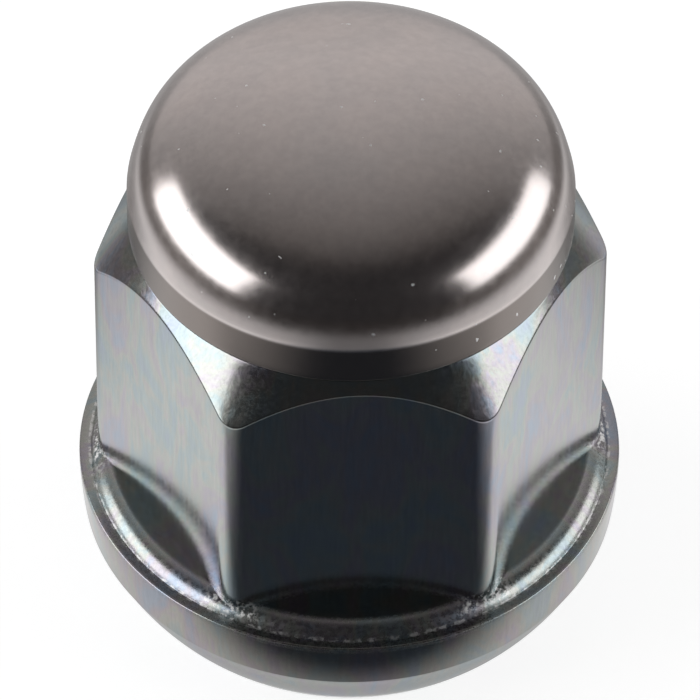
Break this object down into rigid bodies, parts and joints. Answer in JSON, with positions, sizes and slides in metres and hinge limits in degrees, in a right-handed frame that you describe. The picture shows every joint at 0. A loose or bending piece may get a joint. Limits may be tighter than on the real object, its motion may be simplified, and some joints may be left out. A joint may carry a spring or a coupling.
{
  "type": "closed wheel nut",
  "caption": "Closed wheel nut: plated hexagon with a flange and a ball seat at its foot, a threaded bore and a polished domed cap, for holding a road wheel on a stud.",
  "frame": {"origin": "centre of the seat end, which the nut stands on", "axes": "+Z along the thread axis from the seat end to the cap's crown; a flat of the hexagon faces -Y and two corners lie on the X axis"},
  "size_m": [0.0229, 0.0228, 0.0286],
  "materials": {
    "plated_body": "bright zinc plate over drawn flats, with a faint rainbow sheen",
    "polished_cap": "polished stainless steel"
  },
  "bodies": {
    "root": {"nut_body": "plated_body", "dome_cap": "polished_cap"}
  },
  "joints": []
}
